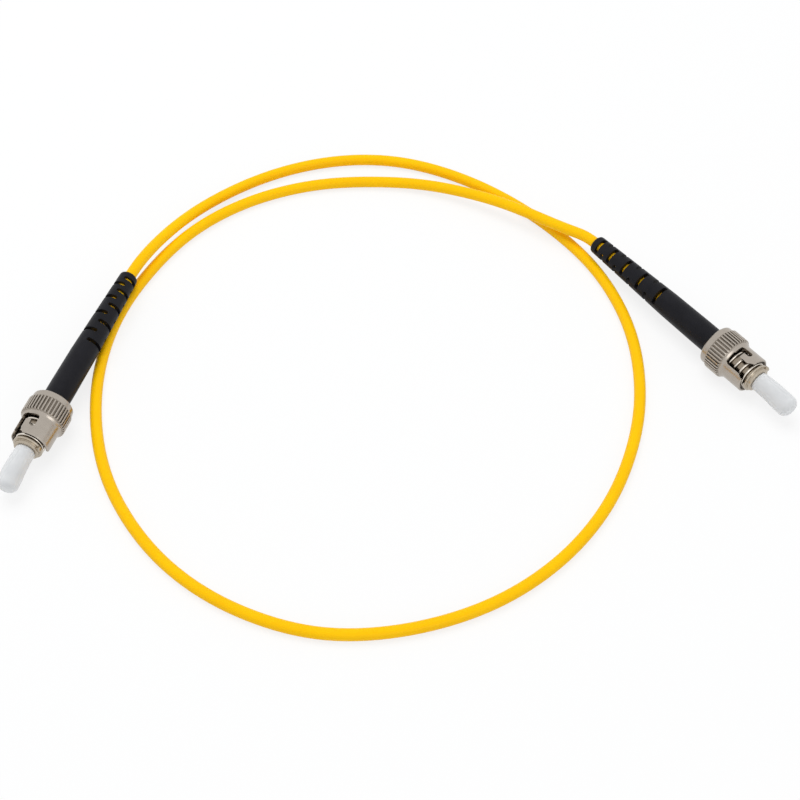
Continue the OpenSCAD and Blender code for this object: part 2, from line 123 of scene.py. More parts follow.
# %% Route of the cable
CAD_LEFT_RIM = Vector((-72.9, -12.3, 4.9))
SHIFT = LAY["left"].translation / MM - CAD_LEFT_RIM
LEFT_STATIONS = (-13.5, -16, -27, -37)
RIGHT_STATIONS = (-40.5, -34, -27, -16, -13.5)
LOOP = [
    (-58.5, 28.5, 4.8), (-54.5, 36, 4), (-49.5, 43.5, 2.9), (-43, 50.5, 1.9),
    (-34.5, 57, 1.25), (-24.5, 61.5, 1.25), (-13, 64, 1.25), (-1.5, 63.5, 1.25),
    (9, 60, 1.25), (19, 54.5, 1.25), (28.5, 47, 1.25), (36.5, 38.5, 1.25),
    (43, 29.5, 1.25), (47.5, 19, 1.25), (50, 8.5, 1.25), (50.5, -2.5, 1.25),
    (49.5, -13, 1.25), (46.5, -24, 1.25), (42, -34.5, 1.25), (35.5, -44, 1.25),
    (27.5, -52, 1.25), (18, -58.5, 1.25), (7, -63, 1.25), (-5, -65.5, 1.25),
    (-17, -65.5, 1.25), (-28.5, -62, 1.25), (-39, -56.5, 1.25), (-48.5, -48.5, 1.25),
    (-56, -38.5, 1.25), (-61.5, -27.5, 1.25), (-64.5, -15.5, 1.25), (-65.5, -3.5, 1.25),
    (-64.5, 8, 1.25), (-61.5, 19, 1.25), (-56, 30, 1.25), (-49.5, 39.5, 1.25),
    (-41, 47, 1.25), (-31, 52.5, 1.25), (-19, 56, 1.25), (-7, 56.5, 1.25),
    (4, 55.5, 1.6), (14.5, 51.5, 2.8), (24, 46.5, 3.9), (32, 41, 4.4), (37.8, 37.2, 4.8),
]


def on_axis(side, station):
    """The point of a connector's axis at a station in mm, in metres in the cord's frame."""
    return LAY[side] @ Vector((station * MM, 0, 0))


route = [on_axis("left", s) for s in LEFT_STATIONS]
route += [(Vector(p) + SHIFT) * MM for p in LOOP]
route += [on_axis("right", s) for s in RIGHT_STATIONS]
print("the route has", len(route), "points")

# %% Smooth line through the route


def b_spline(points, steps):
    """Points of a uniform cubic B-spline that starts and ends on its end points."""
    held = [2 * points[0] - points[1], *points, 2 * points[-1] - points[-2]]
    line = []
    for i in range(len(points) - 1):
        for k in range(steps):
            t = k / steps
            weights = (
                (1 - t) ** 3,
                3 * t**3 - 6 * t**2 + 4,
                -3 * t**3 + 3 * t**2 + 3 * t + 1,
                t**3,
            )
            mixed = Vector((0, 0, 0))
            for weight, point in zip(weights, held[i : i + 4]):
                mixed += weight / 6 * point
            line.append(mixed)
    return [*line, points[-1]]


STEPS_PER_SPAN = 6
centreline = b_spline(route, STEPS_PER_SPAN)

# %% Jacket
JACKET_R = 1.25 * MM
JACKET_SIDES = 24


def collect(obj):
    """Put a new object into the scene."""
    bpy.context.scene.collection.objects.link(obj)
    return obj


def upright(along):
    """Two directions across a line that never climbs steeply: sideways and up."""
    side = along.cross(Vector((0, 0, 1))).normalized()
    return side, side.cross(along)


def tube_faces(rows, around):
    """The quads between rows of points, and a cap at each end."""
    faces = []
    for i in range(rows - 1):
        for k in range(around):
            n = (k + 1) % around
            here, there = i * around, (i + 1) * around
            faces.append((here + k, here + n, there + n, there + k))
    faces.append(tuple(reversed(range(around))))
    faces.append(tuple((rows - 1) * around + k for k in range(around)))
    return faces


def jacket_mesh(line, r, around):
    """A closed tube with a UV map in mm: u along the cable and v round it."""
    verts, run = [], [0.0]
    for i, place in enumerate(line):
        along = (line[min(i + 1, len(line) - 1)] - line[max(i - 1, 0)]).normalized()
        side, up = upright(along)
        if i:
            run.append(run[-1] + (place - line[i - 1]).length / MM)
        for k in range(around):
            a = 2 * math.pi * k / around
            verts.append(place + r * (math.cos(a) * side + math.sin(a) * up))
    mesh = bpy.data.meshes.new("yellow_jacket")
    mesh.from_pydata(verts, [], tube_faces(len(line), around))
    mesh.shade_smooth()
    uv = mesh.uv_layers.new(name="jacket")
    girth = 2 * math.pi * r / MM
    for face in mesh.polygons[:-2]:
        i, k = divmod(face.index, around)
        for loop, (di, dk) in zip(face.loop_indices, ((0, 0), (0, 1), (1, 1), (1, 0))):
            uv.data[loop].uv = (run[i + di], girth * (k + dk) / around)
    return mesh


jacket = collect(
    bpy.data.objects.new("yellow_jacket", jacket_mesh(centreline, JACKET_R, JACKET_SIDES))
)
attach(jacket, "cord")
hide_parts("cable")
print("jacket drawn through", len(centreline), "rings")

# %% [markdown]
# ## Floor, world and lamps
#
# The cord lies on a sheet of white card under a large soft light. The card has to come out
# as white as its surroundings without washing out the cord, so the white comes from an
# emission that only the camera, mirrors and glass can see. The light that falls on the cord
# itself stays plain: a big soft lamp above, a weaker one from the front, and an even world.

# %% World
BACKDROP_STRENGTH = 1.0
FILL_TINT = (0.97, 0.985, 1, 1)
FILL_STRENGTH = 0.62
world = bpy.data.worlds.new("studio")
bpy.context.scene.world = world
world.use_nodes = True
tree = world.node_tree
tree.nodes.clear()
world_out = tree.nodes.new("ShaderNodeOutputWorld")
backdrop = tree.nodes.new("ShaderNodeBackground")
backdrop.inputs["Color"].default_value = (1, 1, 1, 1)
backdrop.inputs["Strength"].default_value = BACKDROP_STRENGTH
fill = tree.nodes.new("ShaderNodeBackground")
fill.inputs["Color"].default_value = FILL_TINT
fill.inputs["Strength"].default_value = FILL_STRENGTH
pick = tree.nodes.new("ShaderNodeMixShader")
path = tree.nodes.new("ShaderNodeLightPath")


def seen_rays(tree, path):
    """1 for camera, glossy and transmission rays, which see the backdrop, else 0."""
    first = tree.nodes.new("ShaderNodeMath")
    first.operation = "MAXIMUM"
    both = tree.nodes.new("ShaderNodeMath")
    both.operation = "MAXIMUM"
    tree.links.new(path.outputs["Is Camera Ray"], first.inputs[0])
    tree.links.new(path.outputs["Is Glossy Ray"], first.inputs[1])
    tree.links.new(first.outputs[0], both.inputs[0])
    tree.links.new(path.outputs["Is Transmission Ray"], both.inputs[1])
    return both.outputs[0]


tree.links.new(seen_rays(tree, path), pick.inputs["Fac"])
tree.links.new(fill.outputs[0], pick.inputs[1])
tree.links.new(backdrop.outputs[0], pick.inputs[2])
tree.links.new(pick.outputs[0], world_out.inputs["Surface"])
print("world: white to look at, a soft fill to be lit by")

# %% Lamps


def soft_lamp(name, place, size, watts, mirrored):
    """A square area lamp that faces the cord, and says if shiny metal may mirror it."""
    data = bpy.data.lights.new(name, "AREA")
    data.size = size
    data.energy = watts
    lamp = collect(bpy.data.objects.new(name, data))
    lamp.location = place
    lamp.rotation_mode = "QUATERNION"
    lamp.rotation_quaternion = (-Vector(place)).to_track_quat("-Z", "Y")
    lamp.visible_glossy = mirrored
    return lamp


soft_lamp("top_lamp", (-0.15, 0.25, 0.9), size=0.7, watts=5.2, mirrored=False)
soft_lamp("front_lamp", (0.35, -0.8, 0.5), size=0.5, watts=1.4, mirrored=True)
print("two soft lamps")

# %% Floor
FLOOR_HALF = 1.5
FLOOR_DROP = 0.00005
CARD_GREY = 0.86
VEIL = 0.80
floor_mesh = bpy.data.meshes.new("floor")
floor_mesh.from_pydata(
    [
        (-FLOOR_HALF, -FLOOR_HALF, 0),
        (FLOOR_HALF, -FLOOR_HALF, 0),
        (FLOOR_HALF, FLOOR_HALF, 0),
        (-FLOOR_HALF, FLOOR_HALF, 0),
    ],
    [],
    [(0, 1, 2, 3)],
)
floor = collect(bpy.data.objects.new("floor", floor_mesh))
floor.location.z = -FLOOR_DROP
card = bpy.data.materials.new("white_card")
card.use_nodes = True
tree = card.node_tree
tree.nodes.clear()
card_out = tree.nodes.new("ShaderNodeOutputMaterial")
paper = tree.nodes.new("ShaderNodeBsdfDiffuse")
paper.inputs["Color"].default_value = (CARD_GREY, CARD_GREY, CARD_GREY, 1)
glow = tree.nodes.new("ShaderNodeEmission")
glow.inputs["Strength"].default_value = 1.0
veil = tree.nodes.new("ShaderNodeMixShader")
lift = tree.nodes.new("ShaderNodeMath")
lift.operation = "MULTIPLY"
lift.inputs[1].default_value = VEIL
path = tree.nodes.new("ShaderNodeLightPath")
tree.links.new(seen_rays(tree, path), lift.inputs[0])
tree.links.new(lift.outputs[0], veil.inputs["Fac"])
tree.links.new(paper.outputs[0], veil.inputs[1])
tree.links.new(glow.outputs[0], veil.inputs[2])
tree.links.new(veil.outputs[0], card_out.inputs["Surface"])
floor_mesh.materials.append(card)
bpy.context.scene.view_settings.view_transform = "Standard"
print("floor of white card, level with the underside of the cord")

# %% [markdown]
# ## Shader groups that several finishes share
#
# Most of this cord is either plated metal or moulded plastic, and both kinds need the same
# few things: coordinates that run along a connector, a fine grain, slow patches where the
# surface has been handled, and a mask that finds the edges. Each is built once as a node
# group and placed in a material with its own numbers. The groups put out only values and
# colours; the shader itself stays in the material, where it can be read and exported.

# %% Helpers for groups


def new_group(name, inputs, outputs):
    """A node group with named sockets. Returns the tree and its input and output nodes."""
    group = bpy.data.node_groups.new(name, "ShaderNodeTree")
    for label, kind, value in inputs:
        socket = group.interface.new_socket(label, in_out="INPUT", socket_type=kind)
        if value is not None:
            socket.default_value = value
    for label, kind in outputs:
        group.interface.new_socket(label, in_out="OUTPUT", socket_type=kind)
    return group, group.nodes.new("NodeGroupInput"), group.nodes.new("NodeGroupOutput")


FLOAT = "NodeSocketFloat"
VECTOR = "NodeSocketVector"


def number(tree, operation, *values):
    """A Math node. Each value is a number or a socket; returns the result's socket."""
    node = tree.nodes.new("ShaderNodeMath")
    node.operation = operation
    for i, value in enumerate(values):
        if isinstance(value, (int, float)):
            node.inputs[i].default_value = value
        else:
            tree.links.new(value, node.inputs[i])
    return node.outputs[0]


def vector(tree, operation, *values):
    """A Vector Math node. Each value is a tuple, a number or a socket."""
    node = tree.nodes.new("ShaderNodeVectorMath")
    node.operation = operation
    for i, value in enumerate(values):
        if isinstance(value, (int, float)):
            node.inputs["Scale"].default_value = value
        elif isinstance(value, tuple):
            node.inputs[i].default_value = value
        else:
            tree.links.new(value, node.inputs[i])
    return node.outputs["Value" if operation in ("DOT_PRODUCT", "LENGTH") else "Vector"]


def noise(tree, place, scale, detail=2.0, rough=0.5):
    """A Noise Texture read at a vector socket; returns its value, about 0.5 on average."""
    node = tree.nodes.new("ShaderNodeTexNoise")
    node.inputs["Scale"].default_value = scale
    node.inputs["Detail"].default_value = detail
    node.inputs["Roughness"].default_value = rough
    tree.links.new(place, node.inputs["Vector"])
    return node.outputs["Fac"]


def remap(tree, value, low, high, to_low=0.0, to_high=1.0):
    """Stretch a range of a value to another, without running past it."""
    node = tree.nodes.new("ShaderNodeMapRange")
    ends = {"From Min": low, "From Max": high, "To Min": to_low, "To Max": to_high}
    for label, end in ends.items():
        node.inputs[label].default_value = end
    tree.links.new(value, node.inputs["Value"])
    return node.outputs["Result"]


def object_mm(tree):
    """The place on an object, in mm."""
    return vector(tree, "SCALE", tree.nodes.new("ShaderNodeTexCoord").outputs["Object"], 1 / MM)


print("group helpers ready")

# %% Group: turned coordinates
turned, g_in, g_out = new_group(
    "turned coordinates",
    [("Rim", VECTOR, None), ("Along", VECTOR, None), ("Across", VECTOR, None)],
    [("Station", FLOAT), ("Radius", FLOAT), ("Rings", VECTOR), ("Grain", VECTOR)],
)
place = turned.nodes.new("ShaderNodeTexCoord").outputs["Object"]
from_rim = vector(turned, "SUBTRACT", place, g_in.outputs["Rim"])
from_rim = vector(turned, "SCALE", from_rim, 1 / MM)
station = vector(turned, "DOT_PRODUCT", from_rim, g_in.outputs["Along"])
across = vector(turned, "DOT_PRODUCT", from_rim, g_in.outputs["Across"])
height = vector(turned, "DOT_PRODUCT", from_rim, (0.0, 0.0, 1.0))
squares = [number(turned, "POWER", part, 2.0) for part in (across, height)]
radius = number(turned, "SQRT", number(turned, "ADD", *squares))
RING_STRETCH = 0.04
rings = turned.nodes.new("ShaderNodeCombineXYZ")
turned.links.new(station, rings.inputs["X"])
turned.links.new(number(turned, "MULTIPLY", across, RING_STRETCH), rings.inputs["Y"])
turned.links.new(number(turned, "MULTIPLY", height, RING_STRETCH), rings.inputs["Z"])
for label, socket in (
    ("Station", station), ("Radius", radius), ("Rings", rings.outputs[0]), ("Grain", from_rim)
):
    turned.links.new(socket, g_out.inputs[label])
print("turned coordinates: station and radius in mm from a connector's axis")

# %% Group: edge wear
wear, g_in, g_out = new_group(
    "edge wear",
    [("Place", VECTOR, None), ("Width", FLOAT, 0.0001), ("Breakup", FLOAT, 1.2)],
    [("Edge", FLOAT), ("Normal", VECTOR)],
)
rounded = wear.nodes.new("ShaderNodeBevel")
rounded.samples = 6
wear.links.new(g_in.outputs["Width"], rounded.inputs["Radius"])
flat = wear.nodes.new("ShaderNodeNewGeometry").outputs["Normal"]
agree = vector(wear, "DOT_PRODUCT", rounded.outputs[0], flat)
turned_away = number(wear, "SUBTRACT", 1.0, agree)
sharp = remap(wear, turned_away, 0.01, 0.16)
patchy = noise(wear, g_in.outputs["Place"], 1.0, 3.0)
wear.links.new(g_in.outputs["Breakup"], patchy.node.inputs["Scale"])
broken = number(wear, "MULTIPLY", sharp, remap(wear, patchy, 0.35, 0.6, 0.35, 1.0))
wear.links.new(broken, g_out.inputs["Edge"])
wear.links.new(rounded.outputs[0], g_out.inputs["Normal"])
print("edge wear: a mask and a softened normal where two faces meet")

# %% Group: handled surface
handled, g_in, g_out = new_group(
    "handled surface",
    [("Place", VECTOR, None), ("Grain Scale", FLOAT, 9.0), ("Patch Scale", FLOAT, 0.35)],
    [("Grain", FLOAT), ("Patches", FLOAT), ("Smudge", FLOAT)],
)
for label, socket, low, high in (
    ("Grain", "Grain Scale", 0.25, 0.75), ("Patches", "Patch Scale", 0.3, 0.7)
):
    value = noise(handled, g_in.outputs["Place"], 1.0, 4.0, 0.6)
    handled.links.new(g_in.outputs[socket], value.node.inputs["Scale"])
    handled.links.new(remap(handled, value, low, high), g_out.inputs[label])
smear = noise(handled, g_in.outputs["Place"], 0.9, 5.0, 0.65)
handled.links.new(remap(handled, smear, 0.52, 0.72), g_out.inputs["Smudge"])
print("handled surface: grain, patches and smudges")

# %% [markdown]
# ## Finishes
#
# A finish is one Principled shader with the groups in front of it. The helper below opens a
# material, sets what is the same all over straight on the shader, and returns the tree, so
# each finish only has to say what changes over its surface.

# %% Helpers for finishes


def finish(name, **plain):
    """A material with a Principled shader whose plain sockets are set by name."""
    material = bpy.data.materials.new(name)
    material.use_nodes = True
    tree = material.node_tree
    shader = tree.nodes["Principled BSDF"]
    for label, value in plain.items():
        shader.inputs[label.replace("_", " ")].default_value = value
    return material, tree, shader


def placed(tree, group, **values):
    """A node group in a material, with its inputs set or linked by name."""
    node = tree.nodes.new("ShaderNodeGroup")
    node.node_tree = group
    for label, value in values.items():
        socket = node.inputs[label.replace("_", " ")]
        if isinstance(value, bpy.types.NodeSocket):
            tree.links.new(value, socket)
        else:
            socket.default_value = value
    return node


def axis_node(tree, side):
    """The turned coordinates of one connector."""
    lay = LAY[side]
    return placed(
        tree,
        turned,
        Rim=tuple(lay.translation),
        Along=tuple(lay.col[0][:3]),
        Across=tuple(-lay.col[1].to_3d()),
    )


def blend_colour(tree, fac, first, second):
    """Mix two colours, each a tuple or a socket, by a socket."""
    node = tree.nodes.new("ShaderNodeMix")
    node.data_type = "RGBA"
    tree.links.new(fac, node.inputs["Factor"])
    for slot, colour in ((6, first), (7, second)):
        if isinstance(colour, tuple):
            node.inputs[slot].default_value = (*colour, 1)
        else:
            tree.links.new(colour, node.inputs[slot])
    return node.outputs[2]


def bump(tree, height, strength, distance, normal=None):
    """A Bump node on a height socket; distance is in metres."""
    node = tree.nodes.new("ShaderNodeBump")
    node.inputs["Strength"].default_value = strength
    node.inputs["Distance"].default_value = distance
    tree.links.new(height, node.inputs["Height"])
    if normal is not None:
        tree.links.new(normal, node.inputs["Normal"])
    return node.outputs[0]


def dress(node, material):
    """Give a CAD node's object one material."""
    mesh = frame["nodes"][node].data
    mesh.materials.clear()
    mesh.materials.append(material)


print("finish helpers ready")

# %% [markdown]
# ## Plated metal
#
# The coupling nut and the body are turned brass with a nickel plate: a warm grey, satin
# where the tool left fine rings, brighter along worn edges. A flat metallic grey looks like
# plastic, so the rings get a little bump and roughness, and the edges a lighter colour.
# Shade is painted into the colour as well: darker in the knurl's grooves, inside the nut and
# on the barrel under it.

# %% Nickel
KNURL = (1.55, 5.35)
KNURL_ROOT_R = 4.62
KNURL_TOP_R = 4.86


def within(tree, value, low, high, soft=0.08):
    """1 where a value lies between two limits, with soft ends."""
    rise = remap(tree, value, low - soft, low + soft)
    fall = remap(tree, value, high - soft, high + soft, 1.0, 0.0)
    return number(tree, "MULTIPLY", rise, fall)


def plated(name, side, base, worn, painted_shade, shade_mask, rough, ring_scale):
    """Turned and plated metal on one connector, with painted shade, a darker colour, where a
    mask says.
    """
    material, tree, shader = finish(name, Metallic=1.0)
    axis = axis_node(tree, side)
    edge = placed(tree, wear, Place=axis.outputs["Grain"], Width=0.00007, Breakup=1.6)
    hand = placed(tree, handled, Place=axis.outputs["Grain"], Grain_Scale=14.0, Patch_Scale=0.5)
    ring_lines = noise(tree, axis.outputs["Rings"], ring_scale, 4.0, 0.7)
    patches = remap(tree, hand.outputs["Patches"], 0, 1, 0.0, 0.45)
    colour = blend_colour(tree, patches, base, tuple(0.78 * c for c in base))
    # painted shade: the mask pulls the metal's colour towards a dark tone where shade falls
    colour = blend_colour(tree, shade_mask(tree, axis), colour, painted_shade)
    colour = blend_colour(tree, edge.outputs["Edge"], colour, worn)
    tree.links.new(colour, shader.inputs["Base Color"])
    dull = number(tree, "MULTIPLY", hand.outputs["Grain"], 0.06)
    ringed = remap(tree, ring_lines, 0.3, 0.7, rough - 0.05, rough + 0.08)
    dull = number(tree, "ADD", dull, ringed)
    dull = number(tree, "ADD", dull, number(tree, "MULTIPLY", hand.outputs["Smudge"], 0.08))
    tree.links.new(dull, shader.inputs["Roughness"])
    ridges = bump(tree, ring_lines, 0.25, 0.000012, edge.outputs["Normal"])
    tree.links.new(ridges, shader.inputs["Normal"])
    return material


def painted_nut_shade(tree, axis):
    """Painted shade: the knurl's grooves, and the nut's inside."""
    low = remap(tree, axis.outputs["Radius"], KNURL_ROOT_R, KNURL_TOP_R, 1.0, 0.0)
    groove = number(tree, "MULTIPLY", low, within(tree, axis.outputs["Station"], *KNURL))
    inside = remap(tree, axis.outputs["Radius"], 3.7, 3.95, 1.0, 0.0)
    return number(tree, "MAXIMUM", number(tree, "MULTIPLY", groove, 0.85), inside)


def painted_barrel_shade(tree, axis):
    """Painted shade on the barrel behind the seat, inside the nut and under the spring."""
    return remap(tree, axis.outputs["Station"], 10.9, 11.2, 0.8, 0.0)


body_metal = {}
for side in SIDES:
    dress(
        f"{side}_coupling_nut",
        plated(
            f"nickel_nut_{side}",
            side,
            base=(0.44, 0.395, 0.345),
            worn=(0.72, 0.67, 0.60),
            # painted shade: darker colour in the knurl's grooves and inside the nut
            painted_shade=(0.13, 0.105, 0.08),
            shade_mask=painted_nut_shade,
            rough=0.22,
            ring_scale=7.0,
        ),
    )
    body_metal[side] = plated(
        f"nickel_body_{side}",
        side,
        base=(0.46, 0.40, 0.32),
        worn=(0.85, 0.80, 0.70),
        # painted shade: darker colour on the barrel behind the seat, inside the nut
        painted_shade=(0.24, 0.20, 0.155),
        shade_mask=painted_barrel_shade,
        rough=0.16,
        ring_scale=8.0,
    )
    dress(f"{side}_crimp_sleeve", body_metal[side])
    dress(f"{side}_thrust_washer", body_metal[side])
print("nickel on the nuts, bodies, sleeves and washers")

# %% [markdown]
# ## Moulded plastic
#
# Three plastics meet here. The boot is a black rubbery moulding with a satin skin. The
# jacket is drawn through a die, so its faint marks run along it. The cap is a milky vinyl
# that lets light through. They share the handled surface group with different numbers.

# %% Black boot


def boot_rubber(side):
    """Black satin rubber, paler where it is rubbed."""
    material, tree, shader = finish(f"black_boot_{side}", IOR=1.5, Specular_IOR_Level=0.12)
    axis = axis_node(tree, side)
    edge = placed(tree, wear, Place=axis.outputs["Grain"], Width=0.00012, Breakup=0.8)
    hand = placed(tree, handled, Place=axis.outputs["Grain"], Grain_Scale=6.0, Patch_Scale=0.25)
    dark, pale = (0.006, 0.006, 0.008), (0.011, 0.011, 0.014)
    colour = blend_colour(tree, hand.outputs["Patches"], dark, pale)
    rubbed = number(tree, "MULTIPLY", edge.outputs["Edge"], 0.5)
    colour = blend_colour(tree, rubbed, colour, (0.035, 0.035, 0.04))
    tree.links.new(colour, shader.inputs["Base Color"])
    dull = remap(tree, hand.outputs["Grain"], 0, 1, 0.38, 0.50)
    dull = number(tree, "ADD", dull, number(tree, "MULTIPLY", hand.outputs["Smudge"], 0.06))
    tree.links.new(dull, shader.inputs["Roughness"])
    fine = noise(tree, axis.outputs["Grain"], 10.0, 3.0, 0.6)
    skin = bump(tree, fine, 0.2, 0.00002, edge.outputs["Normal"])
    tree.links.new(skin, shader.inputs["Normal"])
    return material


for side in SIDES:
    dress(f"{side}_boot", boot_rubber(side))
print("black rubber on both boots")

# %% Yellow jacket
material, tree, shader = finish(
    "yellow_jacket", IOR=1.5, Specular_IOR_Level=0.1, Subsurface_Weight=0.08
)
shader.inputs["Subsurface Radius"].default_value = (1.0, 0.5, 0.1)
shader.inputs["Subsurface Scale"].default_value = 0.0006
place = object_mm(tree)
hand = placed(tree, handled, Place=place, Grain_Scale=5.0, Patch_Scale=0.08)
colour = blend_colour(tree, hand.outputs["Patches"], (0.93, 0.51, 0.001), (0.97, 0.55, 0.001))
soiled = number(tree, "MULTIPLY", hand.outputs["Smudge"], 0.12)
colour = blend_colour(tree, soiled, colour, (0.85, 0.45, 0.002))
tree.links.new(colour, shader.inputs["Base Color"])
tree.links.new(remap(tree, hand.outputs["Grain"], 0, 1, 0.36, 0.46), shader.inputs["Roughness"])
unrolled = tree.nodes.new("ShaderNodeUVMap")
unrolled.uv_map = "jacket"
drawn = vector(tree, "MULTIPLY", unrolled.outputs["UV"], (0.05, 1.4, 0.0))
tree.links.new(bump(tree, noise(tree, drawn, 2.0, 4.0), 0.2, 0.00002), shader.inputs["Normal"])
jacket.data.materials.append(material)
print("yellow jacket finished")

# %% [markdown]
# ## The spring
#
# Behind each bayonet slot sits the coil that keeps the ferrule pressed home. It is drawn as
# a helix with a closed turn at each end, at the same pitch and hand as the solid in the
# frame, but with a round wire. When the nut is pushed forward the coil shortens.

# %% Spring mesh
WIRE_R = 0.25
COIL_R = 2.975
SPRING_BACK = 2.78
SEAT = 11.6
COIL_PITCH = 1.57
WIRE_SIDES = 12
STEPS_PER_TURN = 40


def tube_mesh(name, centres, r, around):
    """A closed tube of radius r through points, all in mm in a connector's frame."""
    verts = []
    for i, c in enumerate(centres):
        before, after = centres[max(i - 1, 0)], centres[min(i + 1, len(centres) - 1)]
        along = (after - before).normalized()
        out = Vector((0, c.y, c.z)).normalized()
        out = (out - along * out.dot(along)).normalized()
        other = along.cross(out)
        for k in range(around):
            a = 2 * math.pi * k / around
            verts.append(c + r * (math.cos(a) * out + math.sin(a) * other))
    mesh = bpy.data.meshes.new(name)
    mesh.from_pydata([v * MM for v in verts], [], tube_faces(len(centres), around))
    mesh.shade_smooth()
    return mesh


def spring_line():
    """Centres of the wire: a closed turn, the open turns, and another closed turn."""
    wire = 2 * WIRE_R
    open_len = SEAT - SPRING_BACK - 3 * wire
    open_turns = round(4 * open_len / COIL_PITCH) / 4
    turns = open_turns + 2
    steps = round(turns * STEPS_PER_TURN)
    centres = []
    for i in range(steps + 1):
        u = turns * i / steps
        if u < 1:
            rise = u * wire
        elif u < turns - 1:
            rise = wire + (u - 1) * open_len / open_turns
        else:
            rise = wire + open_len + (u - turns + 1) * wire
        a = 2 * math.pi * u
        station = SPRING_BACK + WIRE_R + rise
        centres.append(Vector((station, COIL_R * math.sin(a), COIL_R * math.cos(a))))
    return centres


def settle(name, mesh, side, body, material):
    """Link a mesh made in a connector's frame, lay it in place and let it ride."""
    mesh.transform(LAY[side])
    mesh.update()
    piece = collect(bpy.data.objects.new(name, mesh))
    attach(piece, body)
    mesh.materials.append(material)
    return piece


print("helix of", len(spring_line()), "points")

# %% Springs in place
spring_metal, tree, shader = finish("bright_spring", Metallic=1.0)
place = object_mm(tree)
hand = placed(tree, handled, Place=place, Grain_Scale=12.0, Patch_Scale=0.8)
colour = blend_colour(tree, hand.outputs["Patches"], (0.78, 0.73, 0.66), (0.62, 0.57, 0.50))
tree.links.new(colour, shader.inputs["Base Color"])
tree.links.new(remap(tree, hand.outputs["Grain"], 0, 1, 0.14, 0.26), shader.inputs["Roughness"])
for side in SIDES:
    wire = tube_mesh(f"{side}_coil_spring", spring_line(), WIRE_R, WIRE_SIDES)
    coil = settle(f"{side}_coil_spring", wire, side, "cord", spring_metal)
    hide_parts(f"{side}_spring")
    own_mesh(coil)
print("a spring in each connector")

# %% [markdown]
# ## The nose of the body
#
# Between the spring and the cap shows the front of the metal body: a thin flange that the
# spring bears on, then a slimmer polished nose that enters the socket, with one small key
# that stops the ferrule from turning. The solid in the frame is one plain step here, so we
# turn a finer profile, as a lathe would, and stand the key on it. The rest of the profile,
# down to the knurled crimp tail inside the boot, follows the solid.

# %% Body mesh
BODY_PROFILE = [
    # crimp tail and the back of the barrel
    (1.7, -5.1), (1.7, 0.9), (2.5, 0.9), (2.6, 1.0),
    # groove of the retaining ring
    (2.6, 1.06), (2.3, 1.06), (2.3, 1.5), (2.6, 1.5),
    # barrel and the flange that the spring bears on
    (2.6, 11.6), (3.12, 11.6), (3.24, 11.72), (3.24, 12.0), (3.12, 12.12),
    # nose
    (2.82, 12.12), (2.74, 12.2), (2.74, 12.72), (2.6, 12.86), (2.45, 12.9),
    # bores of the ferrule and the fibre
    (1.5, 12.9), (1.27, 12.7), (1.27, 6.9), (0.5, 6.9), (0.5, -5.1),
]
KEY_TURN = -70
KEY_BOX = ((11.8, 12.6), (-0.55, 0.55), (2.3, 3.44))
KEY_EDGE = 0.08
BODY_SIDES = 72


def lathe(name, profile, around):
    """A closed skin of (radius, station) pairs in mm turned round the connector's axis."""
    verts, faces = [], []
    for r, s in profile:
        for k in range(around):
            a = 2 * math.pi * k / around
            verts.append(Vector((s, r * math.sin(a), r * math.cos(a))) * MM)
    rows = len(profile)
    for i in range(rows):
        j = (i + 1) % rows
        for k in range(around):
            n = (k + 1) % around
            faces.append((i * around + k, j * around + k, j * around + n, i * around + n))
    mesh = bpy.data.meshes.new(name)
    mesh.from_pydata(verts, [], faces)
    return mesh


def smooth_by_angle(mesh, degrees=35):
    """Smooth shading, with edges sharper than an angle kept sharp."""
    mesh.shade_smooth()
    mesh.set_sharp_from_angle(angle=math.radians(degrees))


def key_mesh(name):
    """A small block with bevelled edges, turned to its angle round the axis."""
    (x0, x1), (y0, y1), (z0, z1) = KEY_BOX
    made = bmesh.new()
    bmesh.ops.create_cube(made, size=1.0)
    for v in made.verts:
        v.co = Vector((
            x0 + (x1 - x0) * (v.co.x + 0.5),
            y0 + (y1 - y0) * (v.co.y + 0.5),
            z0 + (z1 - z0) * (v.co.z + 0.5),
        )) * MM
    bmesh.ops.bevel(
        made, geom=made.edges[:], offset=KEY_EDGE * MM, segments=3, profile=0.5, affect="EDGES"
    )
    turn = Matrix.Rotation(math.radians(KEY_TURN), 3, "X")
    bmesh.ops.rotate(made, verts=made.verts, cent=(0, 0, 0), matrix=turn)
    mesh = bpy.data.meshes.new(name)
    made.to_mesh(mesh)
    made.free()
    return mesh


for side in SIDES:
    skin = lathe(f"{side}_metal_body", BODY_PROFILE, BODY_SIDES)
    smooth_by_angle(skin)
    body = settle(f"{side}_metal_body", skin, side, "cord", body_metal[side])
    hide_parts(f"{side}_body")
    block = key_mesh(f"{side}_body_key")
    smooth_by_angle(block)
    key = settle(f"{side}_body_key", block, side, "cord", body_metal[side])
print("a nose and a key on each body")

# %% [markdown]
# ## The dust cap
#
# A cap of soft milky vinyl is pushed over the ferrule so that its polished end stays clean.
# Past the ferrule nothing holds it up, so its tip droops a little. We sweep rings along a
# line that is straight over the ferrule and then bends, and let the radius grow towards the
# rounded tip; inner rings make the wall. A subsurface and a little transmission give the
# milky look, with the ferrule faintly darker inside.

# %% Cap mesh
NOSE = 12.9
CAP_BACK = 12.92
CAP_LEN = 9.66
CAP_STRAIGHT = 4.2
CAP_MOUTH_R = 2.15
CAP_TIP_R = 2.35
CAP_TIP_ROUND = 1.5
CAP_BORE_R = 1.27
CAP_BORE_END = 18.9
CAP_BEND = {"left": 9, "right": 6}
CAP_BLEND = 2.4
CAP_LIP = 0.12
CAP_FLARE = 0.72
CAP_SIDES = 48
CAP_STEPS = 80
CAP_SKIN_RINGS = 30
CAP_TIP_RINGS = 14
BORE_LEAD = 0.28
BORE_FLARE = 0.3


